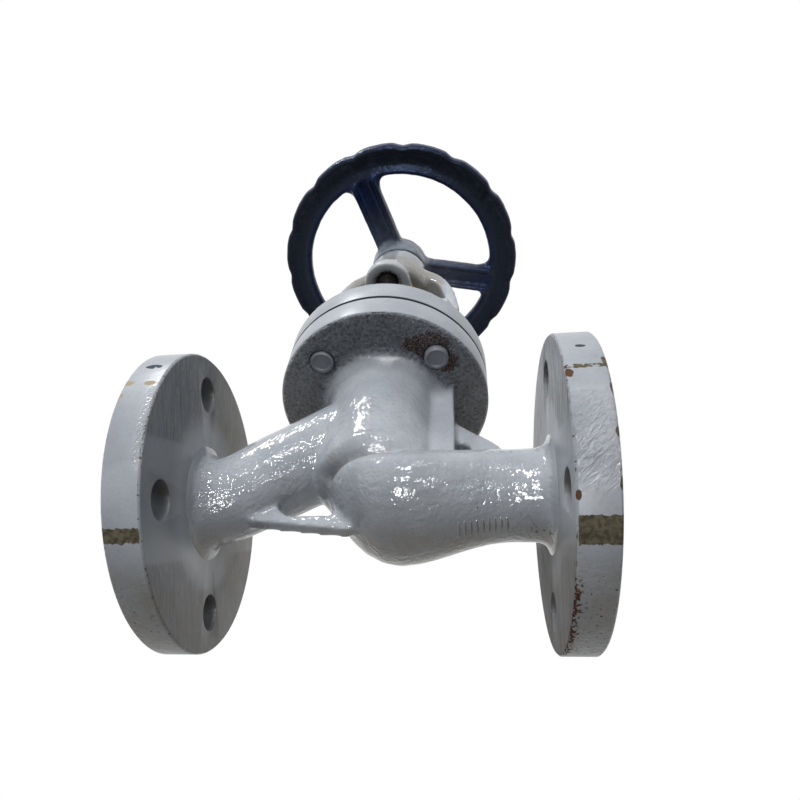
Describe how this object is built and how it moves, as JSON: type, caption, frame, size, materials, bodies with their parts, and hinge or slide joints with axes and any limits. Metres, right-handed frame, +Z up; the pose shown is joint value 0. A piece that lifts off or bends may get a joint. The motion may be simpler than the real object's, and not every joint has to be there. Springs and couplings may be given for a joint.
{
  "type": "globe valve",
  "caption": "Straight flanged globe valve with a bolted bonnet, an open yoke, a rising stem and a spoked handwheel that opens and closes it.",
  "frame": {"origin": "where the pipe axis meets the stem axis, midway between the end flange faces", "axes": "+X along the pipe towards the inlet flange, +Z up the stem towards the handwheel, +Y across both"},
  "size_m": [0.16, 0.1364, 0.277],
  "materials": {
    "silver_paint": "glossy aluminium-grey paint over cast iron",
    "navy_paint": "glossy dark navy paint over cast iron",
    "steel": "machined or plated steel",
    "bronze": "machined bronze",
    "graphite": "pressed graphite"
  },
  "bodies": {
    "valve_body": {"body": "silver_paint", "seat_ring": "steel", "body_gasket": "graphite", "bonnet": "silver_paint", "backseat_bushing": "bronze", "packing_washer": "steel", "packing_ring_1": "graphite", "packing_ring_2": "graphite", "packing_ring_3": "graphite", "packing_ring_4": "graphite", "gland": "silver_paint", "gland_plate": "silver_paint", "eye_bolt_1": "steel", "eye_bolt_2": "steel", "eye_pin_1": "steel", "eye_pin_2": "steel", "gland_nut_1": "steel", "gland_nut_2": "steel", "bonnet_stud_1": "steel", "bonnet_stud_2": "steel", "bonnet_stud_3": "steel", "bonnet_stud_4": "steel", "bonnet_nut_1": "steel", "bonnet_nut_2": "steel", "bonnet_nut_3": "steel", "bonnet_nut_4": "steel", "stem_nut": "bronze", "stem_nut_screw": "steel"},
    "disc_assembly": {"disc": "steel", "disc_nut": "steel"},
    "spindle": {"stem": "steel", "handwheel": "navy_paint", "wheel_washer": "steel", "wheel_nut": "steel"}
  },
  "joints": [
    {"name": "stem_lift", "type": "slide", "parent": "valve_body", "child": "disc_assembly", "axis": [0, 0, 1], "range_m": [0, 0.009]},
    {"name": "wheel_turn", "type": "hinge", "parent": "disc_assembly", "child": "spindle", "pos_m": [0, 0, 0.2], "axis": [0, 0, 1], "range_deg": [0, 1080]}
  ],
  "couplings": [
    {"joint": "stem_lift", "follows": "wheel_turn", "m_per_rad": 0.00047746}
  ]
}
